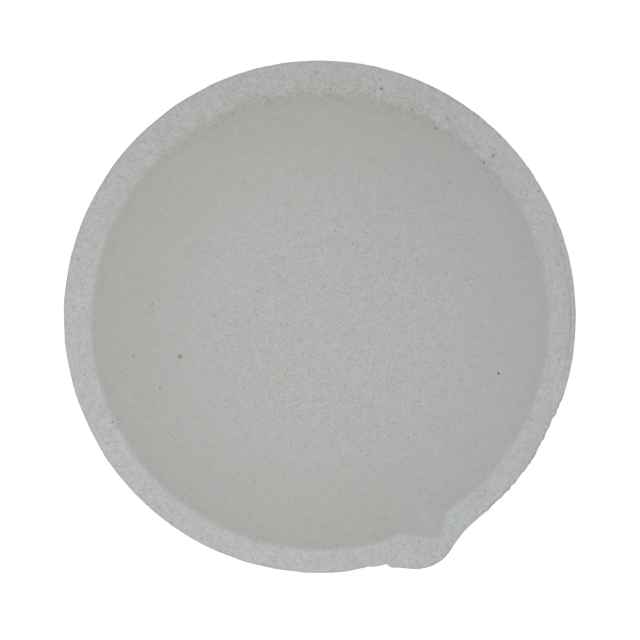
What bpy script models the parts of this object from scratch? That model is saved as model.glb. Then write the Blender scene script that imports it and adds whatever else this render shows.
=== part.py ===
"""A shallow round dish of unglazed ceramic, with a thick flat rim and one V-grooved pouring lip.

Metres, +Z up. The origin is on the base, on the axis of the round outside, and the lip points
towards -Y. The dish is pressed and fired in one piece, so it is one object: a turned body joined
with a lip, then cut by a turned basin and by the lip's groove.
"""

from math import atan2, cos, hypot, radians, sin

import bmesh
import bpy
from mathutils import Vector

# Outside of the round body
HEIGHT = 0.025
RIM_RADIUS = 0.0525
RIM_CHAMFER = 0.0005
BAND_HEIGHT = 0.008  # the nearly upright band under the rim
BAND_DRAFT = 0.0004  # how far the band narrows towards its lower edge
BELLY_RADIUS = 0.080  # curve of the outside between the band and the foot
FOOT_RADIUS = 0.025
FOOT_CHAMFER = 0.0008

# Basin: a shallow spherical bowl with a short, slightly steeper wall just inside the rim
BASIN_RADIUS = 0.047
BASIN_DEPTH = 0.017
BASIN_CENTRE = Vector((-0.0003, -0.0008, 0))  # pressed a little off centre, towards the lip
WALL_WIDTH = 0.0015
WALL_DROP = 0.0014
EDGE_CHAMFER = 0.0004  # between the wall and the rim's flat top

# Pouring lip: a blunt beak as seen from above, whose underside slopes back into the body
LIP_NOSE_CENTRE = Vector((-0.0014, -0.0511, 0))
LIP_NOSE_RADIUS = 0.0052
LIP_FLANK_ANGLE = radians(30)  # between each flank and the rim's tangent
LIP_FLANK_LENGTH = 0.013
LIP_BAND_HEIGHT = 0.0065
LIP_ROOT_HEIGHT = 0.010  # where the underside is back inside the body
LIP_ROOT_SCALE = 0.5
LIP_ROOT_SHIFT = Vector((0, 0.013, 0))

# Groove: two sloping faces that meet in a crease. The first three points lie in the rim's plane.
GROOVE_TIP = Vector((0.0023, -0.0517, HEIGHT))
GROOVE_LEFT = Vector((-0.0035, -0.0480, HEIGHT))
GROOVE_RIGHT = Vector((0.0055, -0.0476, HEIGHT))
GROOVE_ROOT = Vector((0.0029, -0.0420, HEIGHT - 0.0047))
GROOVE_REACH = 2.2  # how many times longer than those edges the cutter's edges are

CUT_CLEARANCE = 0.002  # how far the cutters stand out of the rim
TURN_STEPS = 96
BELLY_STEPS = 7
BOWL_STEPS = 12
NOSE_STEPS = 8

CERAMIC_COLOUR = (0.445, 0.456, 0.440, 1.0)
CERAMIC_ROUGHNESS = 0.9


def clear_scene():
    for obj in list(bpy.data.objects):
        bpy.data.objects.remove(obj)


def collection(name):
    made = bpy.data.collections.new(name)
    bpy.context.scene.collection.children.link(made)
    return made


def ceramic():
    material = bpy.data.materials.new("ceramic")
    material.use_nodes = True
    shader = material.node_tree.nodes["Principled BSDF"]
    shader.inputs["Base Color"].default_value = CERAMIC_COLOUR
    shader.inputs["Roughness"].default_value = CERAMIC_ROUGHNESS
    shader.inputs["Metallic"].default_value = 0.0
    return material


def arc(start, end, radius, steps):
    """Points from start to end on an arc of this radius, which bulges to the left of that direction."""
    along_r = end[0] - start[0]
    along_z = end[1] - start[1]
    chord = hypot(along_r, along_z)
    to_centre = (radius**2 - chord**2 / 4) ** 0.5 / chord
    centre_r = (start[0] + end[0]) / 2 + along_z * to_centre
    centre_z = (start[1] + end[1]) / 2 - along_r * to_centre
    first = atan2(start[1] - centre_z, start[0] - centre_r)
    last = atan2(end[1] - centre_z, end[0] - centre_r)
    angles = [first + (last - first) * i / steps for i in range(steps + 1)]
    return [(centre_r + radius * cos(a), centre_z + radius * sin(a)) for a in angles]


def outside_profile():
    """(radius, height) pairs from the rim's middle down the outside to the middle of the base."""
    band_foot = (RIM_RADIUS - BAND_DRAFT, HEIGHT - BAND_HEIGHT)
    belly = arc(band_foot, (FOOT_RADIUS, FOOT_CHAMFER), BELLY_RADIUS, BELLY_STEPS)
    rim = [(0, HEIGHT), (RIM_RADIUS - RIM_CHAMFER, HEIGHT), (RIM_RADIUS, HEIGHT - RIM_CHAMFER)]
    return rim + belly + [(FOOT_RADIUS - FOOT_CHAMFER, 0), (0, 0)]


def basin_profile():
    """The same for the space inside the dish, from above the rim down to the middle of the floor."""
    bowl_radius = BASIN_RADIUS - WALL_WIDTH
    bowl_depth = BASIN_DEPTH - WALL_DROP
    sphere_radius = (bowl_radius**2 + bowl_depth**2) / (2 * bowl_depth)
    bowl = arc((bowl_radius, HEIGHT - WALL_DROP), (0, HEIGHT - BASIN_DEPTH), sphere_radius, BOWL_STEPS)
    top = BASIN_RADIUS + EDGE_CHAMFER + CUT_CLEARANCE
    edge = (BASIN_RADIUS, HEIGHT - EDGE_CHAMFER)
    return [(0, HEIGHT + CUT_CLEARANCE), (top, HEIGHT + CUT_CLEARANCE), edge] + bowl


def turned(name, profile, where):
    """A solid turned about its own Z axis."""
    mesh = bpy.data.meshes.new(name)
    edges = [(i, i + 1) for i in range(len(profile) - 1)]
    mesh.from_pydata([(radius, 0, height) for radius, height in profile], edges, [])
    obj = bpy.data.objects.new(name, mesh)
    where.objects.link(obj)
    screw = obj.modifiers.new("Turn", "SCREW")
    screw.steps = TURN_STEPS
    screw.render_steps = TURN_STEPS
    screw.use_merge_vertices = True
    screw.merge_threshold = 1e-6
    return obj


def lip_outline():
    """The lip from above, at the height of the rim: a flank, the round nose, the other flank."""
    first = radians(270) - LIP_FLANK_ANGLE
    angles = [first + 2 * LIP_FLANK_ANGLE * i / NOSE_STEPS for i in range(NOSE_STEPS + 1)]
    nose = [LIP_NOSE_CENTRE + LIP_NOSE_RADIUS * Vector((cos(a), sin(a), 0)) for a in angles]
    flank = LIP_FLANK_LENGTH * Vector((cos(LIP_FLANK_ANGLE), sin(LIP_FLANK_ANGLE), 0))
    left_end = nose[0] + Vector((-flank.x, flank.y, 0))
    right_end = nose[-1] + flank
    return [point + Vector((0, 0, HEIGHT)) for point in [left_end] + nose + [right_end]]


def solid(name, bm, where):
    """An object made from a bmesh of closed faces, in any order."""
    bmesh.ops.recalc_face_normals(bm, faces=bm.faces)
    mesh = bpy.data.meshes.new(name)
    bm.to_mesh(mesh)
    bm.free()
    obj = bpy.data.objects.new(name, mesh)
    where.objects.link(obj)
    return obj


def lip(where):
    """A loft down the upright band under the outline, then along the underside, back into the body."""
    top = lip_outline()
    band_foot = [point - Vector((0, 0, LIP_BAND_HEIGHT)) for point in top]
    root_centre = LIP_NOSE_CENTRE + LIP_ROOT_SHIFT
    root_centre.z = LIP_ROOT_HEIGHT
    root = []
    for point in top:
        across = point - LIP_NOSE_CENTRE
        across.z = 0
        root.append(root_centre + LIP_ROOT_SCALE * across)
    bm = bmesh.new()
    rings = [[bm.verts.new(point) for point in section] for section in (top, band_foot, root)]
    bm.faces.new(rings[0])
    bm.faces.new(rings[-1])
    for upper, lower in zip(rings, rings[1:]):
        for i in range(len(upper)):
            bm.faces.new((upper[i - 1], upper[i], lower[i], lower[i - 1]))
    return solid("lip", bm, where)


def groove(where):
    """A wedge whose two lower faces are the groove's, raised along the crease to stand out of the rim."""
    crease = GROOVE_ROOT - GROOVE_TIP
    apex = GROOVE_TIP - crease * (CUT_CLEARANCE / -crease.z)
    ends = [apex + GROOVE_REACH * (end - GROOVE_TIP) for end in (GROOVE_LEFT, GROOVE_RIGHT, GROOVE_ROOT)]
    bm = bmesh.new()
    corners = [bm.verts.new(point) for point in [apex] + ends]
    bmesh.ops.convex_hull(bm, input=corners)
    return solid("groove", bm, where)


def combine(obj, other, operation):
    modifier = obj.modifiers.new(other.name, "BOOLEAN")
    modifier.operation = operation
    modifier.solver = "EXACT"
    modifier.object = other
    other.hide_render = True
    other.display_type = "WIRE"


def main():
    clear_scene()
    parts = collection("pouring_dish")
    cutters = collection("cutters")
    dish = turned("dish_body", outside_profile(), parts)
    dish.data.materials.append(ceramic())
    combine(dish, lip(cutters), "UNION")
    basin = turned("basin", basin_profile(), cutters)
    basin.location = BASIN_CENTRE
    combine(dish, basin, "DIFFERENCE")
    combine(dish, groove(cutters), "DIFFERENCE")
    dish.modifiers.new("Shading", "WEIGHTED_NORMAL")


main()
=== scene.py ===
"""The visible model of a shallow unglazed ceramic pouring dish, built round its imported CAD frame.

The dish is one fired piece, so it is one mesh: a grid of rings whose heights and radii come from
formulas for the basin, the rim, the lip and its groove, with the chips, pits and wear of a rough
pressed ceramic. Lengths are in millimetres up to the mesh, which is in metres as the frame is.
Angles are in degrees, counter-clockwise from +X seen from above.
"""

import bpy
import numpy as np
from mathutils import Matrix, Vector, noise


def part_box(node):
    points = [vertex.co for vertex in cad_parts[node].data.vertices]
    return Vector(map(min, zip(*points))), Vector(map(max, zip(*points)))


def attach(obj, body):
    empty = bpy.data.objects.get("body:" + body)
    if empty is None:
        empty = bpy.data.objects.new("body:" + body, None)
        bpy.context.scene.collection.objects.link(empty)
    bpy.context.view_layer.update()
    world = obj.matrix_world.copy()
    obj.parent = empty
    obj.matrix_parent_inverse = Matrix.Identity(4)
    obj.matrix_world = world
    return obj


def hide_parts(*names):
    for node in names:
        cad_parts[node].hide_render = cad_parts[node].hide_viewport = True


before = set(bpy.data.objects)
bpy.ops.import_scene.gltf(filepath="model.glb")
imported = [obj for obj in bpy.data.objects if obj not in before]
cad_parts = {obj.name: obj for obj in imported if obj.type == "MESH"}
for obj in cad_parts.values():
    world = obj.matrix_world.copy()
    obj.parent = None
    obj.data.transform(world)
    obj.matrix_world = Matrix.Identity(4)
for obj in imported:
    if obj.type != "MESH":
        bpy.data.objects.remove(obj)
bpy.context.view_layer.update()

MM = 0.001
_, dish_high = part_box("dish_body")
RIM_RADIUS = dish_high.x / MM
HEIGHT = dish_high.z / MM

# Basin
BASIN_CENTRE = (-0.3, -0.8)
BASIN_RADIUS = 47.2  # where the wall meets the plane of the rim
BASIN_DEPTH = 17.0
WALL_WIDTH = 1.5  # a short, steeper wall between the bowl and the rim
WALL_DROP = 1.4
WALL_FOOT = 0.4  # how softly the bowl turns into the wall
CRISP_EDGE = 0.55  # how softly the wall turns into the rim, where the edge is sharp
WORN_EDGE = 0.15  # what wear adds to that, opposite the lip
WEAR_ANGLE = 64.0  # the middle of the worn stretch
WORN_SPREAD = 50.0  # how far to either side of it the edge is rounded
WEAR_SPREAD = 100.0  # how far to either side of it grains are laid bare
WEAR_WIDTH = 2.0  # how far above and below the rim's plane they are laid bare

# Lip, as the straight flanks of its outline: the angle of each one's normal, and its distance
# from the axis
LEFT_FLANK = (239.8, 50.2)
RIGHT_FLANK = (301.8, 48.2)
NOSE_SOFTNESS = 5.8
FLANK_BLEND = 1.5
FLANK_TURN = 75.0  # past this angle from its normal, a flank is too far away to matter
LEFT_STEP = (258.8, 259.9)  # the flank starts with a small broken step on this side
LIP_ANGLE = 270.0
LIP_SPREAD = 30.0  # how far the lip reaches to either side of its angle
LIP_FADE = (8.0, HEIGHT - 4.5)  # heights between which the underside runs back into the body

# Groove: a face down from each of the rim's edges that meet at the tip, and a sloping floor
GROOVE_TIP = (2.1, -52.1)
GROOVE_LEFT = (-3.8, -48.1)
GROOVE_RIGHT = (5.7, -47.7)
LEFT_SLOPE = 0.72
RIGHT_SLOPE = 0.78
GROOVE_FLOOR = (  # three points on it
    (2.3, -51.9, HEIGHT - 0.6),
    (3.3, -51.8, HEIGHT - 0.6),
    (2.8, -42.0, HEIGHT - 5.2),
)
GROOVE_START = -37.0  # further in than this, the groove's faces would come out of the basin's floor
GROOVE_EDGE = 0.25
CREASE_SOFTNESS = 1.1
CHANNEL_END = (2.0, -55.6)  # a shallow channel carries on over the lip
CHANNEL_DEPTH = 0.22
CHANNEL_WIDTH = 1.1
CHANNEL_START = -0.5  # how far back along its own length it fades in

# Outer edge and outside
EDGE_RADIUS = 0.3
EDGE_SHADE_WIDTH = 0.38  # how far in from the outline painted shade darkens the rim's edge
EDGE_SHADE_DROP = 1.2  # and how far down the outside
LEDGE_ANGLE = -22.0  # a low ledge, left where the edge was pressed down
LEDGE_SPREAD = 22.0
LEDGE_WIDTH = 2.7
LEDGE_FLAT = 0.9
LEDGE_SLOPE = 0.36
LEDGE_SHADOW_INSET = 1.15  # how far in from the outline a painted shadow line runs along the ledge's step
LEDGE_SHADOW_WIDTH = 0.18
LEDGE_SHADOW_STRENGTH = 0.42
BAND_HEIGHT = 8.0
BAND_DRAFT = 0.4
BAND_FILLET = 1.5
BELLY_RADIUS = 80.0
FOOT_RADIUS = 25.0
FOOT_CHAMFER = 0.8
FOOT_FILLET = 0.5

# How uneven each surface is: the size of the largest features, their height, and octaves of noise
OUTLINE_WAVER = (1.6, 0.03, 2)
TEETH = (0.9, 0.18, 2)
RIM_SWELL = (14.0, 0.05, 2)
RIM_GRIT = (1.7, 0.02, 3)
RIM_SINK = 0.03  # lets the swell rise only a little over the frame's height
BASIN_SWELL = (11.0, 0.04, 2)
WALL_WAVER = (9.0, 0.25, 2)
OUTSIDE_SWELL = (5.0, 0.10, 3)
OUTSIDE_GRIT = (2.4, 0.02, 3)
UNEVEN_ABOVE = 0.6  # the foot is flat, and the outside is fully uneven from this height
LEVEL = (0.9, 1.0)  # the upward share of the normal, where the outside gives way to the level rim
OUTSIDE_REACH = 3.0  # the outside starts this far in from the rim's radius
UNDER_BASIN = 1.0  # and takes in all that is this far below the basin's floor

# Worn stretches of the outline: angle, half-width in degrees, depth
DENTS = (
    (253.4, 3.8, 0.24),
    (255.0, 1.3, 0.12),
    (286.5, 2.2, 0.14),
    (304.5, 4.6, 0.34),
    (309.5, 4.0, 0.38),
    (313.0, 2.5, 0.20),
)
TEETH_RANGE = (279.0, 317.0)  # a rough stretch of broken flash
TEETH_FADE = 4.0

# How dark the painted shade on the outer edge is: everywhere, and what a stretch, the flash and the
# ledge add
EDGE_SHADE = 0.16
EDGE_SHADE_STRETCH = (27.0, 24.0, 0.32)  # its middle, its spread and what it adds
FLASH_SHADE = 0.28
LEDGE_SHADE = 0.12

# Pits in the rim: x, y, half-length, half-width, the angle of the long side, depth
PITS = (
    (46.3, 14.1, 1.3, 0.21, 2, 0.50),
    (44.0, 13.7, 0.42, 0.30, 50, 0.54),
    (43.3, 12.8, 0.50, 0.22, 50, 0.30),
    (46.9, 15.6, 0.35, 0.24, 60, 0.25),
    (48.2, 15.8, 0.30, 0.24, 0, 0.25),
    (38.2, 24.3, 0.36, 0.28, 0, 0.50),
    (39.6, 24.9, 0.85, 0.20, 35, 0.35),
    (41.2, 25.0, 0.75, 0.18, -20, 0.25),
    (42.2, 19.0, 0.50, 0.24, -20, 0.25),
    (31.8, 36.5, 0.70, 0.24, -15, 0.50),
    (30.5, 36.6, 0.30, 0.26, 0, 0.55),
    (30.1, 35.8, 0.35, 0.20, -40, 0.35),
    (31.6, 35.2, 0.35, 0.20, 0, 0.30),
    (33.6, 33.8, 0.50, 0.22, 50, 0.30),
    (35.6, 29.8, 0.36, 0.26, 0, 0.45),
    (26.6, 39.7, 0.50, 0.22, 80, 0.30),
    (25.9, 38.4, 0.60, 0.24, 15, 0.30),
    (24.6, 38.6, 0.40, 0.20, 60, 0.25),
    (22.2, 41.0, 0.40, 0.24, 0, 0.25),
    (21.3, 45.4, 0.34, 0.24, 0, 0.40),
    (51.6, 3.4, 0.50, 0.34, 80, 0.35),
    (29.8, -38.0, 0.30, 0.24, 0, 0.30),
    (36.4, -31.3, 0.26, 0.22, 0, 0.25),
    (-47.7, -0.8, 0.30, 0.24, 0, 0.30),
)

# Dark specks in the clay: x, y, radius, strength
SPECKS = (
    (-30.1, 17.6, 0.42, 0.32),
    (-30.6, 17.5, 0.25, 0.3),
    (-36.3, 1.2, 0.30, 0.5),
    (-38.2, 9.6, 0.28, 0.5),
    (-47.7, -0.8, 0.28, 0.7),
    (-19.5, 9.7, 0.25, 0.5),
    (-38.0, -9.7, 0.24, 0.35),
    (28.0, -26.7, 0.34, 0.9),
    (10.6, -24.8, 0.22, 0.6),
    (5.5, -30.6, 0.22, 0.6),
    (30.7, -6.6, 0.24, 0.5),
    (3.6, -9.8, 0.20, 0.5),
    (-1.6, -15.3, 0.25, 0.4),
    (36.2, 13.2, 0.26, 0.5),
    (37.8, 29.1, 0.28, 0.4),
    (29.8, -38.0, 0.26, 0.35),
    (-39.4, 32.3, 0.30, 0.5),
    (-6.0, -43.3, 0.35, 0.2),
)
RED_SPECKS = ((3.6, -44.2, 0.30, 0.40), (22.3, 41.0, 0.32, 0.35), (-41.9, 7.8, 0.30, 0.2))
RUST_SPECKS = ((-29.8, 5.3, 0.62, 0.7), (-29.6, 5.5, 0.30, 1.0))
PIT_HIGHLIGHTS = ((31.1, 36.0, 0.9, 0.5), (26.4, 39.0, 0.7, 0.35), (45.7, 13.7, 0.7, 0.4))  # painted highlights beside pits
HAIRLINE = (26.1, -12.8, 64.0)  # a short crack in the basin: x, y and angle
HAIRLINE_LENGTH = 2.2
HAIRLINE_WIDTH = 0.30
HAIRLINE_STRENGTH = 0.35
HAIRLINE_FADE = (0.5, 0.1)  # shares of its length and width where it ends and is full
FULLY_SHADED_PIT = 0.55  # a pit this deep gets the darkest painted shade
PIT_SHADE_FADE = (0.1, 0.9)  # shares of that depth between which its painted shade comes in

# Areas of the surface that look different: centre, how far from it each ends, and where it is full
COARSE_AREA = ((2, -3, 8), 44, 12)
NOSE_AREA = ((2.5, -54, 25), 5, 2)
BLUSH_AREA = ((44, -16, 20), 70, 22)
LILAC_AREA = ((44, -16, 20), 50, 12)
# the worn area: olive on the wall; on the rim darker, partly for its wear and partly as painted shade
WEAR_AND_SHADE_AREA = ((20, 46, 25), 66, 30)
# painted shade in the groove, darkest at its tip
GROOVE_SHADE_AREA = ((2, -48, 22), 8, 5)
TIP_SHADE_AREA = ((2.0, -49.8, 23.5), 1.9, 0.5)
LIP_AREA = ((0, -55, 25), 7, 2)
WALL_FADE = (24, 42)  # distances from the basin's centre between which its colour turns to the wall's
BASIN_FADE = (-0.45, 0.35)  # heights of the basin over the rim's plane where their colours meet
GROOVE_FADE = (-0.20, 0.15)  # the same for the groove

# Colours of the ceramic, in linear light
BASIN_COLOUR = (0.443, 0.453, 0.439, 1)
WALL_COLOUR = (0.427, 0.438, 0.417, 1)
OLIVE_COLOUR = (0.431, 0.438, 0.410, 1)
BLUSH_COLOUR = (0.443, 0.444, 0.436, 1)
# painted shade in the groove and at its tip
GROOVE_SHADE_COLOUR = (0.432, 0.434, 0.424, 1)
TIP_SHADE_COLOUR = (0.406, 0.409, 0.399, 1)
RIM_COLOUR = (0.440, 0.450, 0.446, 1)
LIP_COLOUR = (0.430, 0.437, 0.424, 1)
# the worn rim: darker partly for its wear, partly as painted shade
WORN_AND_SHADED_RIM_COLOUR = (0.425, 0.434, 0.423, 1)
LILAC_COLOUR = (0.438, 0.444, 0.451, 1)
GRAIN_COLOUR = (0.275, 0.265, 0.200, 1)
BROWN_COLOUR = (0.290, 0.240, 0.190, 1)
SPECK_COLOUR = (0.110, 0.085, 0.040, 1)
RUST_COLOUR = (0.250, 0.210, 0.100, 1)
# the colour of the painted highlights beside pits
PIT_HIGHLIGHT_COLOUR = (0.500, 0.490, 0.495, 1)
RED_COLOUR = (0.200, 0.070, 0.060, 1)
# the colour of the painted shade on the outer edge
EDGE_SHADE_COLOUR = (0.200, 0.205, 0.215, 1)
WARM_TINT = (1.012, 1.000, 0.984, 1)
COOL_TINT = (0.988, 1.000, 1.016, 1)
PINK_TINT = (1.008, 0.991, 1.008, 1)
GREEN_TINT = (0.992, 1.009, 0.992, 1)

# Patterns in the clay: the size of the largest features, how far the shade or colour varies, and
# the values of the noise between which it does
GRIT_SIZE = 0.45
GRIT_RANGE = (0.3, 0.7)
GRIT_CONTRAST = 0.72
MOTTLE_SIZE = 1.6
MOTTLE_CONTRAST = 0.18
CLOUD_SIZE = 24
CLOUD_CONTRAST = 0.05
SMOOTHEST = 0.45  # how coarse the basin's wall is, where the rim is 1
MIDDLE_COARSENESS = 0.85
WORN_COARSENESS = 1.25
NOSE_COARSENESS = 1.5
FINE_ROUGHNESS = 0.7  # of the grit's noise, and of the mottle's and the patches'
MIDDLE_ROUGHNESS = 0.6
WARM_PATCH_SIZE = 1.5
PINK_PATCH_SIZE = 1.6
PINK_OFFSET = (40, 0, 0)  # keeps the pink patches from following the warm ones
PATCH_RANGE = (0.25, 0.75)
TINT_STRENGTH = (0.95, 2.0)  # in the basin and on the rim
STAIN_SIZE = 1.5
STAIN_RANGE = (0.45, 0.62)
STAIN_STRENGTH = 0.20
# Patches that break up the painted shade on the outer edge
EDGE_SHADE_PATCH_SIZE = 0.8
EDGE_SHADE_PATCH_RANGE = (0.38, 0.62)
EDGE_SHADE_PATCH_STRENGTH = (0.1, 1.1)

# Grains: spacing, size and the share of places that hold one
GRAINS = (0.70, 0.33, 0.38)
BARED_GRAINS = (0.85, 0.38, 0.50)
FLECKS = (7.0, 0.40, 0.30)
GRAIN_STRENGTH = 0.50
FLECK_STRENGTH = 0.35
GRAIN_SIZES = (0.3, 0.9)  # the smallest and the largest, as shares of that size
GRAIN_HEART = 0.4  # how much of a grain's radius is at full strength
SPECK_HEART = 0.35
KIND_SIZE = 5.0  # size of the areas in which grains are olive or brown
KIND_RANGE = (0.42, 0.58)
# how dark the painted shade in the pits gets
PIT_SHADE_STRENGTH = 0.75

# Relief, in millimetres
GRIT_RELIEF = 0.10
GRAIN_RELIEF = -0.03
SPECK_RELIEF = -0.08

ROUGHNESS = (0.95, 0.80)  # between grits and on them
SPECULAR = 0.25

# Studio, in metres: a pale floor under a soft dome of light, and two lights
DOME = 0.30
HORIZON = 0.80
HORIZON_BAND = (0.05, 0.10)  # sines of the angles between which it gives way to the dome's light
FLOOR_COLOUR = (0.9, 0.9, 0.9, 1)
FLOOR_ROUGHNESS = 0.9
FLOOR_SPECULAR = 0.1
FLOOR_GLOW = 0.4
FLOOR_SIZE = 12
FLOOR_GAP = 0.0002  # between the floor and the foot

# Bearing, tilt from straight above, distance and width of each light, and how bright the middle of
# the dish is in it, as a share of a white card
KEY = (198.0, 25.0, 0.35, 0.16, 0.40)
FILL = (18.0, 25.0, 1.5, 0.6, 0.36)

# Camera, in metres: straight above the dish, turned so that the lip is at the lower right
CAMERA_HEIGHT = 0.75  # above the rim
CAMERA_ROLL = -26.0
CAMERA_DROP = 0.00068  # how far the view's middle is below the dish's
DISH_SHARE = 0.800625  # the round rim's width as a share of the view's
SENSOR_WIDTH = 36

# Mesh density
SEGMENTS = 720
CROWDING = ((LIP_ANGLE, 15.0, 2.0), (32.0, 28.0, 1.0), (299.0, 16.0, 1.5))  # angle, spread, extra
FLOOR_RINGS = (1.2, 38.0, 20)  # first radius, last radius, number
WALL_RINGS = (38.0, 48.6, 38)
RIM_RINGS = 24
EDGE_RINGS = 6
BAND_RINGS = 12
BELLY_STEPS = 24
BASE_RINGS = 6
CORNER_STEP = 3  # the belly's step that the corner under the band is rounded towards

ABOVE_ALL = HEIGHT + 9  # higher than any surface, so that it never counts


def soft_min(a, b, softness):
    """The lower of a and b, rounded over where they come within softness of each other."""
    share = np.clip(0.5 + 0.5 * (b - a) / softness, 0, 1)
    return b + (a - b) * share - softness * share * (1 - share)


def soft_max(a, b, softness):
    return -soft_min(-a, -b, softness)


def smooth_step(low, high, value):
    t = np.clip((value - low) / (high - low), 0, 1)
    return t * t * (3 - 2 * t)


def turn_between(degrees, other):
    """The signed angle from other to degrees, from -180 to 180."""
    return (degrees - other + 180) % 360 - 180


def bump_at(degrees, centre, spread):
    """1 at centre, falling smoothly to 0 at spread degrees to either side."""
    t = np.clip(turn_between(degrees, centre) / spread, -1, 1)
    return (1 - t * t) ** 2


def angles_round():
    """Degrees round the dish, closer together where there is more detail."""
    fine = np.linspace(0, 360, 10 * SEGMENTS + 1)
    crowding = np.ones_like(fine)
    for centre, spread, extra in CROWDING:
        crowding += extra * np.exp(-((turn_between(fine, centre) / spread) ** 2))
    travelled = np.concatenate([[0], np.cumsum((crowding[1:] + crowding[:-1]) / 2)])
    return np.interp(np.arange(SEGMENTS) / SEGMENTS, travelled / travelled[-1], fine)


def uneven(points, size, height, octaves):
    """Fractal noise, about this high. Each octave has half the size and height of the one before."""
    return height * np.array([noise.fractal(Vector(p) / size, 1.0, 2.0, octaves) for p in points])


def lip_reach(degrees):
    """How far the lip stands out of the round body at each angle."""
    flanks = []
    for normal, distance in (LEFT_FLANK, RIGHT_FLANK):
        off = np.radians(np.clip(turn_between(degrees, normal), -FLANK_TURN, FLANK_TURN))
        flanks.append(distance / np.cos(off))
    beak = soft_min(flanks[0], flanks[1], NOSE_SOFTNESS)
    near = np.abs(turn_between(degrees, LIP_ANGLE)) < LIP_SPREAD
    reach = soft_max(beak, np.full_like(beak, RIM_RADIUS), FLANK_BLEND) - RIM_RADIUS
    left_side = smooth_step(*LEFT_STEP, degrees % 360)
    return np.where(near, reach * left_side, 0)


def rough_share(degrees):
    """1 along the stretch of broken flash, 0 elsewhere."""
    start, end = TEETH_RANGE
    fade_in = smooth_step(start, start + TEETH_FADE, degrees)
    return fade_in * (1 - smooth_step(end - TEETH_FADE, end, degrees))


def pressed_share(degrees):
    """1 in the middle of the ledge, 0 away from it."""
    return bump_at(degrees, LEDGE_ANGLE, LEDGE_SPREAD) ** 0.5


def outline(degrees):
    """Radius of the rim's outer edge."""
    radius = RIM_RADIUS + lip_reach(degrees)
    for centre, spread, depth in DENTS:
        radius = radius - depth * bump_at(degrees, centre, spread)
    turn = np.radians(degrees)
    ring = np.stack([np.cos(turn), np.sin(turn), 0 * turn], axis=1) * RIM_RADIUS
    return radius + uneven(ring, *TEETH) * rough_share(degrees) + uneven(ring, *OUTLINE_WAVER)


def plane_height(x, y, a, b, c):
    """Height at (x, y) of the plane through three points."""
    a, b, c = (np.array(p, float) for p in (a, b, c))
    normal = np.cross(b - a, c - a)
    return a[2] - (normal[0] * (x - a[0]) + normal[1] * (y - a[1])) / normal[2]


def basin_height(x, y, waver):
    across = np.hypot(x - BASIN_CENTRE[0], y - BASIN_CENTRE[1])
    bowl_radius = BASIN_RADIUS - WALL_WIDTH
    bowl_depth = BASIN_DEPTH - WALL_DROP
    sphere = (bowl_radius**2 + bowl_depth**2) / (2 * bowl_depth)
    bowl = HEIGHT - BASIN_DEPTH + sphere - np.sqrt(sphere**2 - across**2)
    wall = HEIGHT + (across - BASIN_RADIUS - waver) * WALL_DROP / WALL_WIDTH
    return soft_max(bowl, wall, WALL_FOOT)


def face_height(x, y, start, end, slope):
    """Height at (x, y) of a face that falls from the rim's plane, to the left of start to end."""
    run = np.array(end) - np.array(start)
    off = (run[0] * (y - start[1]) - run[1] * (x - start[0])) / np.hypot(*run)
    return HEIGHT - slope * off


def groove_height(x, y):
    left = face_height(x, y, GROOVE_LEFT, GROOVE_TIP, LEFT_SLOPE)
    right = face_height(x, y, GROOVE_TIP, GROOVE_RIGHT, RIGHT_SLOPE)
    floor = plane_height(x, y, *GROOVE_FLOOR)
    return soft_max(soft_max(left, right, CREASE_SOFTNESS), floor, CREASE_SOFTNESS)


def channel_drop(x, y):
    """The shallow channel from the groove's tip out over the lip."""
    start = np.array(GROOVE_TIP)
    run = np.array(CHANNEL_END) - start
    along = ((x - start[0]) * run[0] + (y - start[1]) * run[1]) / (run @ run)
    off = np.hypot(x - start[0] - run[0] * along, y - start[1] - run[1] * along)
    fade = smooth_step(CHANNEL_START, 0.0, along)
    return CHANNEL_DEPTH * np.exp(-((off / CHANNEL_WIDTH) ** 2)) * fade


def pit_depth(x, y):
    depths = np.zeros_like(x)
    for pit_x, pit_y, half_length, half_width, angle, depth in PITS:
        turn = np.radians(angle)
        along = (x - pit_x) * np.cos(turn) + (y - pit_y) * np.sin(turn)
        across = (y - pit_y) * np.cos(turn) - (x - pit_x) * np.sin(turn)
        off = np.clip(np.hypot(along / half_length, across / half_width), 0, 1)
        depths = np.maximum(depths, depth * (1 - off**2))
    return depths


def top_height(x, y, edge):
    """(height, share of rim, wear) of the upper surface. edge is the outline's radius there."""
    degrees = np.degrees(np.arctan2(y, x))
    points = np.stack([x, y, 0 * x], axis=1)
    rim = HEIGHT + uneven(points, *RIM_SWELL) + uneven(points, *RIM_GRIT) - RIM_SINK
    down = np.clip(np.hypot(x, y) - (edge - LEDGE_WIDTH), 0, LEDGE_WIDTH - LEDGE_FLAT)
    rim = rim - LEDGE_SLOPE * down * pressed_share(degrees)
    rim = rim - channel_drop(x, y)
    inside = basin_height(x, y, uneven(points, *WALL_WAVER)) + uneven(points, *BASIN_SWELL)
    groove = np.where(y < GROOVE_START, groove_height(x, y), ABOVE_ALL)
    rounding = CRISP_EDGE + WORN_EDGE * bump_at(degrees, WEAR_ANGLE, WORN_SPREAD)
    height = soft_min(soft_min(rim, inside, rounding), groove, GROOVE_EDGE) - pit_depth(x, y)
    over_basin = smooth_step(*BASIN_FADE, inside - rim)
    over_groove = smooth_step(*GROOVE_FADE, groove - rim)
    wear = np.exp(-(((inside - rim) / WEAR_WIDTH) ** 2)) * bump_at(degrees, WEAR_ANGLE, WEAR_SPREAD)
    return height, np.minimum(over_basin, over_groove), wear


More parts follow.
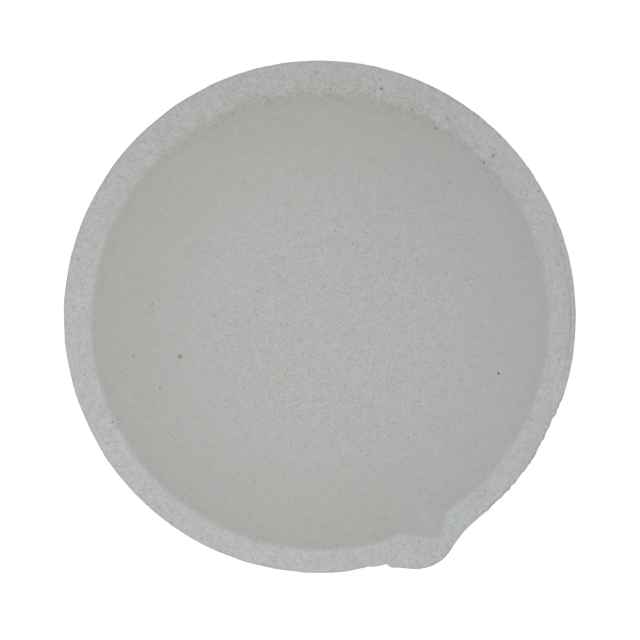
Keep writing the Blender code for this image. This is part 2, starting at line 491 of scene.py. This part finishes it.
def arc(start, end, radius, steps):
    """Points from start to end on an arc of this radius, bulging to the left of that direction."""
    start, end = np.array(start, float), np.array(end, float)
    run = end - start
    chord = np.hypot(*run)
    to_centre = np.sqrt(radius**2 - chord**2 / 4) / chord
    centre = (start + end) / 2 + to_centre * np.array([run[1], -run[0]])
    first, last = (np.arctan2(*(p - centre)[::-1]) for p in (start, end))
    turn = np.linspace(first, last, steps + 1)
    return centre + radius * np.stack([np.cos(turn), np.sin(turn)], axis=1)


def fillet(before, corner, after, length, steps=4):
    """A rounded corner that starts and ends at this length from it."""
    before, corner, after = (np.array(p, float) for p in (before, corner, after))
    start = corner + length * (before - corner) / np.hypot(*(before - corner))
    end = corner + length * (after - corner) / np.hypot(*(after - corner))
    t = np.linspace(0, 1, steps + 1)[:, None]
    return (1 - t) ** 2 * start + 2 * t * (1 - t) * corner + t**2 * end


def outside_profile():
    """(radius, height) pairs of the round body, from under the rim's edge down to the base."""
    band_foot = (RIM_RADIUS - BAND_DRAFT, HEIGHT - BAND_HEIGHT)
    foot = (FOOT_RADIUS, FOOT_CHAMFER)
    belly = arc(band_foot, foot, BELLY_RADIUS, BELLY_STEPS)
    top = (RIM_RADIUS, HEIGHT - EDGE_RADIUS)
    corner = fillet(top, band_foot, belly[CORNER_STEP], BAND_FILLET)
    band = np.linspace(top, corner[0], BAND_RINGS)[1:-1]
    heel = fillet(belly[-2], foot, (FOOT_RADIUS - FOOT_CHAMFER, 0), FOOT_FILLET)
    toe = fillet(foot, (FOOT_RADIUS - FOOT_CHAMFER, 0), (0, 0), FOOT_FILLET)
    kept = belly[(belly[:, 1] < corner[-1, 1]) & (belly[:, 1] > heel[0, 1])]
    base = [(radius, 0) for radius in np.linspace(toe[-1, 0], 0, BASE_RINGS)[1:-1]]
    return np.concatenate([band, corner, kept, heel, toe, base])


def edge_shade_share(degrees):
    """How dark the painted shade on the outer edge is at each angle."""
    centre, spread, extra = EDGE_SHADE_STRETCH
    stretch = extra * bump_at(degrees, centre, spread)
    ledge = LEDGE_SHADE * bump_at(degrees, LEDGE_ANGLE, LEDGE_SPREAD)
    return EDGE_SHADE + stretch + FLASH_SHADE * rough_share(degrees) + ledge


def ledge_shadow(degrees, inset):
    """How dark the painted shadow line at the ledge's step is, at this distance in from the outline."""
    across = np.exp(-(((inset - LEDGE_SHADOW_INSET) / LEDGE_SHADOW_WIDTH) ** 2))
    return LEDGE_SHADOW_STRENGTH * pressed_share(degrees) * across


def upper_rings(edge, unit):
    """The upper surface's rings in plan: round the basin's centre, then on towards the outline."""
    bowl = np.concatenate([np.linspace(*FLOOR_RINGS), np.linspace(*WALL_RINGS)[1:]])
    plan = [np.array(BASIN_CENTRE) + radius * unit for radius in bowl]
    last = plan[-1]
    shelf = (edge - EDGE_RADIUS)[:, None] * unit
    return plan + [last + t * (shelf - last) for t in np.linspace(0, 1, RIM_RINGS)[1:]]


def rings():
    """(points, shares) on a grid of rings by angles: shares of rim, painted shade on the outer edge,
    painted shade in pits, and wear.

    The rings run from the middle of the basin over the rim and down to the middle of the base.
    """
    degrees = angles_round()
    unit = np.stack([np.cos(np.radians(degrees)), np.sin(np.radians(degrees))], axis=1)
    edge = outline(degrees)
    painted_edge_shade = edge_shade_share(degrees)
    made, rims, edge_shades, pit_shades, wears = [], [], [], [], []
    for flat in upper_rings(edge, unit):
        height, rim, wear = top_height(*flat.T, edge)
        made.append(np.column_stack([flat, height]))
        rims.append(rim)
        wears.append(wear)
        # how much painted shade each pit gets
        pit_shades.append(np.clip(pit_depth(*flat.T) / FULLY_SHADED_PIT, 0, 1))
        inset = edge - np.hypot(*flat.T)
        # Painted shade on the outer edge of the rim
        rim_edge_shade = painted_edge_shade * np.exp(-((inset / EDGE_SHADE_WIDTH) ** 2))
        # and a painted shadow line at the ledge's step
        edge_shades.append(rim_edge_shade + ledge_shadow(degrees, inset))
    crest = made[-1][:, 2]
    for turn in np.radians(np.linspace(0, 90, EDGE_RINGS)[1:]):
        radius = edge - EDGE_RADIUS + EDGE_RADIUS * np.sin(turn)
        height = crest - EDGE_RADIUS * (1 - np.cos(turn))
        made.append(np.column_stack([radius[:, None] * unit, height]))
        # full painted shade on the rounded outer edge
        edge_shades.append(painted_edge_shade)
    lip = lip_reach(degrees)
    sag = crest - HEIGHT
    for radius, height in outside_profile():
        stays = smooth_step(HEIGHT - BAND_HEIGHT, HEIGHT, height)
        lip_stays = smooth_step(*LIP_FADE, height)
        at = radius + lip * lip_stays + (edge - lip - RIM_RADIUS) * stays
        made.append(np.column_stack([at[:, None] * unit, height + sag * stays]))
        # painted shade fading down the outside from the edge
        edge_shades.append(painted_edge_shade * np.exp(-(((HEIGHT - height) / EDGE_SHADE_DROP) ** 2)))
    lower = len(made) - len(rims)
    rims += [np.ones(len(degrees))] * lower
    pit_shades += [np.zeros(len(degrees))] * lower
    wears += [np.zeros(len(degrees))] * lower
    shares = {"rim": rims, "edge": edge_shades, "pit_shade": pit_shades, "wear": wears}
    return np.array(made), {name: np.array(values) for name, values in shares.items()}


def roughen(points):
    """Moves the outside along its normals a little, as a pressed and fired surface is never true."""
    across = np.roll(points, -1, axis=1) - np.roll(points, 1, axis=1)
    down = np.gradient(points, axis=0)
    normal = np.cross(down, across)
    normal /= np.linalg.norm(normal, axis=2, keepdims=True) + 1e-9
    flat = points.reshape(-1, 3)
    height = flat[:, 2]
    outside = 1 - smooth_step(*LEVEL, normal[:, :, 2].ravel())
    outside = outside * (np.hypot(flat[:, 0], flat[:, 1]) > RIM_RADIUS - OUTSIDE_REACH)
    outside = np.maximum(outside, height < HEIGHT - BASIN_DEPTH - UNDER_BASIN)
    amount = outside * (uneven(flat, *OUTSIDE_GRIT) + uneven(flat, *OUTSIDE_SWELL))
    amount = amount * smooth_step(0.0, UNEVEN_ABOVE, height)
    return points - normal * amount.reshape(points.shape[:2])[:, :, None]


def mesh_from(name, points, shares):
    """A closed mesh from the rings, with a fan at each end. The material reads shares as attributes."""
    count, segments = points.shape[:2]
    top_middle = points[0].mean(axis=0)
    base_middle = np.array([0, 0, 0])
    verts = np.concatenate([points.reshape(-1, 3), [top_middle], [base_middle]]) * MM
    index = np.arange(count * segments).reshape(count, segments)
    after = np.roll(index, -1, axis=1)
    quads = np.stack([index[:-1], index[1:], after[1:], after[:-1]], axis=2).reshape(-1, 4)
    faces = quads.tolist()
    faces += [(len(verts) - 2, index[0, i], after[0, i]) for i in range(segments)]
    faces += [(len(verts) - 1, after[-1, i], index[-1, i]) for i in range(segments)]
    mesh = bpy.data.meshes.new(name)
    mesh.from_pydata(verts.tolist(), [], faces)
    mesh.shade_smooth()
    for share, values in shares.items():
        attribute = mesh.attributes.new(share, "FLOAT", "POINT")
        middles = [0, values[-1, 0]]
        every = np.concatenate([values.ravel(), middles]).astype(np.float32)
        attribute.data.foreach_set("value", every)
    return mesh


class Steps:
    """Adds the nodes of one material. Each call returns a node's output, to feed later ones."""

    def __init__(self, material):
        material.use_nodes = True
        self.tree = material.node_tree
        self.shader = self.tree.nodes["Principled BSDF"]

    def feed(self, socket, value):
        if isinstance(value, bpy.types.NodeSocket):
            self.tree.links.new(value, socket)
        else:
            socket.default_value = value

    def node(self, kind, inputs, output=0, **settings):
        made = self.tree.nodes.new(kind)
        for name, value in settings.items():
            setattr(made, name, value)
        for name, value in inputs.items():
            self.feed(made.inputs[name], value)
        return made.outputs[output]

    def math(self, operation, a, b=0.0, c=0.0):
        return self.node("ShaderNodeMath", {0: a, 1: b, 2: c}, operation=operation)

    def vector(self, operation, inputs, output=0):
        return self.node("ShaderNodeVectorMath", inputs, output=output, operation=operation)

    def attribute(self, name):
        return self.node("ShaderNodeAttribute", {}, output="Fac", attribute_name=name)

    def distance(self, place, centre):
        return self.vector("DISTANCE", {0: place, 1: centre}, output="Value")

    def near(self, place, area, strength=1.0):
        """strength in the middle of an area, falling smoothly to 0 at its end."""
        centre, end, full = area
        return self.ramp(self.distance(place, centre), end, full, 0, strength)

    def noise(self, place, size, detail=2.0, roughness=0.5):
        """Noise from about 0.3 to 0.7, whose largest features are this many millimetres across."""
        inputs = {"Vector": place, "Scale": 1 / size, "Detail": detail, "Roughness": roughness}
        return self.node("ShaderNodeTexNoise", inputs)

    def ramp(self, value, low, high, to_low=0.0, to_high=1.0):
        """value from low to high, smoothly made to_low to to_high."""
        inputs = {"Value": value, "From Min": low, "From Max": high}
        inputs |= {"To Min": to_low, "To Max": to_high}
        return self.node("ShaderNodeMapRange", inputs, interpolation_type="SMOOTHSTEP")

    def varied(self, shade, pattern, contrast, strength=1.0):
        """shade, made lighter and darker where the pattern is over and under its middle of 0.5."""
        swing = self.math("MULTIPLY", self.math("SUBTRACT", pattern, 0.5), strength)
        return self.math("MULTIPLY_ADD", swing, contrast, shade)

    def mix(self, factor, a, b):
        """Colour a, turning to b as factor goes from 0 to 1. Sockets 6, 7 and 2 are for colours."""
        made = self.tree.nodes.new("ShaderNodeMix")
        made.data_type = "RGBA"
        made.clamp_factor = False
        self.feed(made.inputs[0], factor)
        self.feed(made.inputs[6], a)
        self.feed(made.inputs[7], b)
        return made.outputs[2]

    def grains(self, place, spacing, size, share):
        """Scattered round grains: 1 in a grain and 0 outside, in this share of cells this far apart."""
        inputs = {"Vector": place, "Scale": 1 / spacing}
        distance = self.node("ShaderNodeTexVoronoi", inputs, output="Distance")
        chance = self.node("ShaderNodeTexVoronoi", inputs, output="Color")
        chance = self.node("ShaderNodeSeparateColor", {0: chance}, output=0)
        chosen = self.math("LESS_THAN", chance, share)
        smallest, largest = (grain * size / spacing for grain in GRAIN_SIZES)
        rim = self.math("MULTIPLY_ADD", chance, (largest - smallest) / share, smallest)
        heart = self.math("MULTIPLY", rim, GRAIN_HEART)
        return self.math("MULTIPLY", chosen, self.ramp(distance, rim, heart))

    def specks(self, place, marks):
        """Single round specks with soft edges, from their (x, y, radius, strength)."""
        flat = self.vector("MULTIPLY", {0: place, 1: (1, 1, 0)})
        total = 0.0
        for x, y, radius, strength in marks:
            off = self.distance(flat, (x, y, 0))
            speck = self.ramp(off, radius, SPECK_HEART * radius, 0, strength)
            total = self.math("MAXIMUM", total, speck)
        return total


def tinted(steps, place, colour, size, one, other, strength):
    """colour, drifting between two tints in patches of this size."""
    patches = steps.ramp(steps.noise(place, size, 2, MIDDLE_ROUGHNESS), *PATCH_RANGE)
    tint = steps.vector("MULTIPLY", {0: colour, 1: steps.mix(patches, one, other)})
    return steps.mix(strength, colour, tint)


def ground_colour(steps, place, rim):
    """The clay's colour without its grain: warmer in the basin, cooler on the rim, with worn areas, and
    painted shade on the worn rim and in the groove.
    """
    across = steps.distance(steps.vector("MULTIPLY", {0: place, 1: (1, 1, 0)}), (*BASIN_CENTRE, 0))
    wear_and_shade = steps.near(place, WEAR_AND_SHADE_AREA)
    wall = steps.mix(wear_and_shade, WALL_COLOUR, OLIVE_COLOUR)
    basin = steps.mix(steps.ramp(across, *WALL_FADE), BASIN_COLOUR, wall)
    basin = steps.mix(steps.near(place, BLUSH_AREA), basin, BLUSH_COLOUR)
    # Painted shade in the groove, darkest at its tip
    basin = steps.mix(steps.near(place, GROOVE_SHADE_AREA), basin, GROOVE_SHADE_COLOUR)
    basin = steps.mix(steps.near(place, TIP_SHADE_AREA), basin, TIP_SHADE_COLOUR)
    # The worn rim is darker, partly for its wear and partly as painted shade
    outer = steps.mix(wear_and_shade, RIM_COLOUR, WORN_AND_SHADED_RIM_COLOUR)
    outer = steps.mix(steps.near(place, LILAC_AREA), outer, LILAC_COLOUR)
    outer = steps.mix(steps.near(place, LIP_AREA), outer, LIP_COLOUR)
    ground = steps.mix(rim, basin, outer)
    strength = steps.ramp(rim, 0, 1, *TINT_STRENGTH)
    ground = tinted(steps, place, ground, WARM_PATCH_SIZE, WARM_TINT, COOL_TINT, strength)
    elsewhere = steps.vector("ADD", {0: place, 1: PINK_OFFSET})
    return tinted(steps, elsewhere, ground, PINK_PATCH_SIZE, PINK_TINT, GREEN_TINT, strength)


def hairline(steps, place):
    """1 along the short crack, 0 elsewhere."""
    x, y, angle = HAIRLINE
    turned = steps.vector("SUBTRACT", {0: place, 1: (x, y, 0)})
    turned = steps.node("ShaderNodeVectorRotate", {"Vector": turned, "Angle": -np.radians(angle)})
    scale = (1 / HAIRLINE_LENGTH, 1 / HAIRLINE_WIDTH, 0)
    scaled = steps.vector("MULTIPLY", {0: turned, 1: scale})
    off = steps.vector("LENGTH", {0: scaled}, output="Value")
    return steps.ramp(off, *HAIRLINE_FADE)


def coarseness(steps, place, rim, wear):
    """How coarse the clay looks: most in the middle of the basin, on the rim and where it is worn."""
    middle = steps.near(place, COARSE_AREA)
    coarse = steps.math("MAXIMUM", rim, steps.math("MULTIPLY", middle, MIDDLE_COARSENESS))
    coarse = steps.math("MULTIPLY_ADD", coarse, 1 - SMOOTHEST, SMOOTHEST)
    return steps.math("MAXIMUM", coarse, steps.math("MULTIPLY", wear, WORN_COARSENESS))


def clay_shade(steps, place, coarse, grit):
    """How light the clay is, about 1: fine grit, a mottle of larger spots, and wide faint clouds."""
    rough = steps.math("MAXIMUM", coarse, steps.near(place, NOSE_AREA, NOSE_COARSENESS))
    shade = steps.varied(1.0, grit, GRIT_CONTRAST, rough)
    mottle = steps.noise(place, MOTTLE_SIZE, 2, MIDDLE_ROUGHNESS)
    shade = steps.varied(shade, mottle, MOTTLE_CONTRAST, coarse)
    return steps.varied(shade, steps.noise(place, CLOUD_SIZE, 2), CLOUD_CONTRAST)


def clay_grains(steps, place, coarse, wear):
    grains = steps.math("MULTIPLY", steps.grains(place, *GRAINS), coarse)
    bared = steps.math("MULTIPLY", steps.grains(place, *BARED_GRAINS), wear)
    return steps.math("MAXIMUM", grains, bared)


def marked(steps, place, colour, specks, pit_shade):
    """colour with the specks of this very dish, painted highlights beside its pits, and painted shade
    in the pits.
    """
    colour = steps.mix(specks, colour, SPECK_COLOUR)
    colour = steps.mix(steps.specks(place, RED_SPECKS), colour, RED_COLOUR)
    colour = steps.mix(steps.specks(place, RUST_SPECKS), colour, RUST_COLOUR)
    # Painted highlights beside the pits
    colour = steps.mix(steps.specks(place, PIT_HIGHLIGHTS), colour, PIT_HIGHLIGHT_COLOUR)
    # Painted shade in the pits, in the specks' colour
    return steps.mix(steps.ramp(pit_shade, *PIT_SHADE_FADE, 0, PIT_SHADE_STRENGTH), colour, SPECK_COLOUR)


def ceramic_material():
    material = bpy.data.materials.new("unglazed_ceramic")
    steps = Steps(material)
    coords = steps.node("ShaderNodeTexCoord", {}, output="Object")
    place = steps.vector("SCALE", {0: coords, "Scale": 1 / MM})
    # The edge attribute is painted shade on the outer edge; the pits' attribute is painted shade in the
    # pits
    rim, edge, pit_shade, wear = (steps.attribute(name) for name in ("rim", "edge", "pit_shade", "wear"))

    coarse = coarseness(steps, place, rim, wear)
    grit = steps.noise(place, GRIT_SIZE, 3, FINE_ROUGHNESS)
    shade = clay_shade(steps, place, coarse, grit)
    colour = steps.vector("SCALE", {0: ground_colour(steps, place, rim), "Scale": shade})

    stain = steps.ramp(steps.noise(place, STAIN_SIZE, 2), *STAIN_RANGE, 0, STAIN_STRENGTH)
    colour = steps.mix(steps.math("MULTIPLY", stain, wear), colour, GRAIN_COLOUR)
    grains = clay_grains(steps, place, coarse, wear)
    kind = steps.ramp(steps.noise(place, KIND_SIZE, 2), *KIND_RANGE)
    grain_colour = steps.mix(kind, GRAIN_COLOUR, BROWN_COLOUR)
    colour = steps.mix(steps.math("MULTIPLY", grains, GRAIN_STRENGTH), colour, grain_colour)
    flecks = steps.grains(place, *FLECKS)
    colour = steps.mix(steps.math("MULTIPLY", flecks, FLECK_STRENGTH), colour, SPECK_COLOUR)
    crack = steps.math("MULTIPLY", hairline(steps, place), HAIRLINE_STRENGTH)
    specks = steps.math("MAXIMUM", steps.specks(place, SPECKS), crack)
    colour = marked(steps, place, colour, specks, pit_shade)
    # Painted shade on the outer edge, in patches
    edge_shade_patches = steps.ramp(steps.noise(place, EDGE_SHADE_PATCH_SIZE, 2), *EDGE_SHADE_PATCH_RANGE, *EDGE_SHADE_PATCH_STRENGTH)
    colour = steps.mix(steps.math("MULTIPLY", edge, edge_shade_patches), colour, EDGE_SHADE_COLOUR)
    steps.feed(steps.shader.inputs["Base Color"], colour)

    relief = steps.math("MULTIPLY", grit, GRIT_RELIEF)
    relief = steps.math("MULTIPLY_ADD", grains, GRAIN_RELIEF, relief)
    relief = steps.math("MULTIPLY_ADD", specks, SPECK_RELIEF, relief)
    bump = steps.node("ShaderNodeBump", {"Height": relief, "Strength": 1.0, "Distance": MM})
    steps.feed(steps.shader.inputs["Normal"], bump)
    steps.feed(steps.shader.inputs["Roughness"], steps.ramp(grit, *GRIT_RANGE, *ROUGHNESS))
    steps.shader.inputs["Specular IOR Level"].default_value = SPECULAR
    return material


def build_dish():
    points, shares = rings()
    mesh = mesh_from("dish", roughen(points), shares)
    dish = bpy.data.objects.new("dish", mesh)
    bpy.context.scene.collection.objects.link(dish)
    mesh.materials.append(ceramic_material())
    return dish


def area_light(name, bearing, tilt, distance, size, share):
    """A round light aimed at the middle of the dish, as bright there as this share of a white card."""
    light = bpy.data.objects.new(name, bpy.data.lights.new(name, "AREA"))
    light.data.shape = "DISK"
    light.data.size = size
    light.data.energy = share * (np.pi * distance) ** 2 / np.cos(np.radians(tilt))
    bearing, tilt = np.radians(bearing), np.radians(tilt)
    aim = Vector((0, 0, HEIGHT * MM))
    away = Vector((np.sin(tilt) * np.cos(bearing), np.sin(tilt) * np.sin(bearing), np.cos(tilt)))
    light.location = aim + distance * away
    light.rotation_euler = away.to_track_quat("Z", "Y").to_euler()
    light.visible_camera = False
    bpy.context.scene.collection.objects.link(light)


def build_world():
    """A soft dome of light, paler towards the horizon, where low views see it behind the floor."""
    world = bpy.data.worlds.new("studio")
    world.use_nodes = True
    nodes, links = world.node_tree.nodes, world.node_tree.links
    direction = nodes.new("ShaderNodeTexCoord")
    height = nodes.new("ShaderNodeSeparateXYZ")
    strength = nodes.new("ShaderNodeMapRange")
    strength.interpolation_type = "SMOOTHSTEP"
    ends = ("From Min", "From Max", "To Min", "To Max")
    for name, value in zip(ends, (*HORIZON_BAND, HORIZON, DOME)):
        strength.inputs[name].default_value = value
    links.new(direction.outputs["Generated"], height.inputs[0])
    links.new(height.outputs["Z"], strength.inputs["Value"])
    links.new(strength.outputs[0], nodes["Background"].inputs["Strength"])
    nodes["Background"].inputs["Color"].default_value = (1, 1, 1, 1)
    bpy.context.scene.world = world


def build_stage():
    bpy.ops.mesh.primitive_plane_add(size=FLOOR_SIZE, location=(0, 0, -FLOOR_GAP))
    floor = bpy.context.object
    floor.name = "floor"
    material = bpy.data.materials.new("floor")
    material.use_nodes = True
    shader = material.node_tree.nodes["Principled BSDF"]
    shader.inputs["Base Color"].default_value = FLOOR_COLOUR
    shader.inputs["Roughness"].default_value = FLOOR_ROUGHNESS
    shader.inputs["Specular IOR Level"].default_value = FLOOR_SPECULAR
    shader.inputs["Emission Color"].default_value = (1, 1, 1, 1)
    shader.inputs["Emission Strength"].default_value = FLOOR_GLOW
    floor.data.materials.append(material)
    build_world()
    area_light("key", *KEY)
    area_light("fill", *FILL)


def build_camera():
    data = bpy.data.cameras.new("camera")
    data.sensor_width = SENSOR_WIDTH
    data.lens = SENSOR_WIDTH * CAMERA_HEIGHT / (2 * RIM_RADIUS * MM / DISH_SHARE)
    camera = bpy.data.objects.new("camera", data)
    bpy.context.scene.collection.objects.link(camera)
    roll = np.radians(CAMERA_ROLL)
    up = Vector((-np.sin(roll), np.cos(roll), 0))
    camera.location = Vector((0, 0, HEIGHT * MM + CAMERA_HEIGHT)) - up * CAMERA_DROP
    camera.rotation_euler = (0, 0, roll)
    bpy.context.scene.camera = camera


dish = build_dish()
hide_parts("dish_body")
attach(dish, "root")
build_stage()
build_camera()
bpy.context.scene.view_settings.view_transform = "Standard"

bpy.context.view_layer.update()
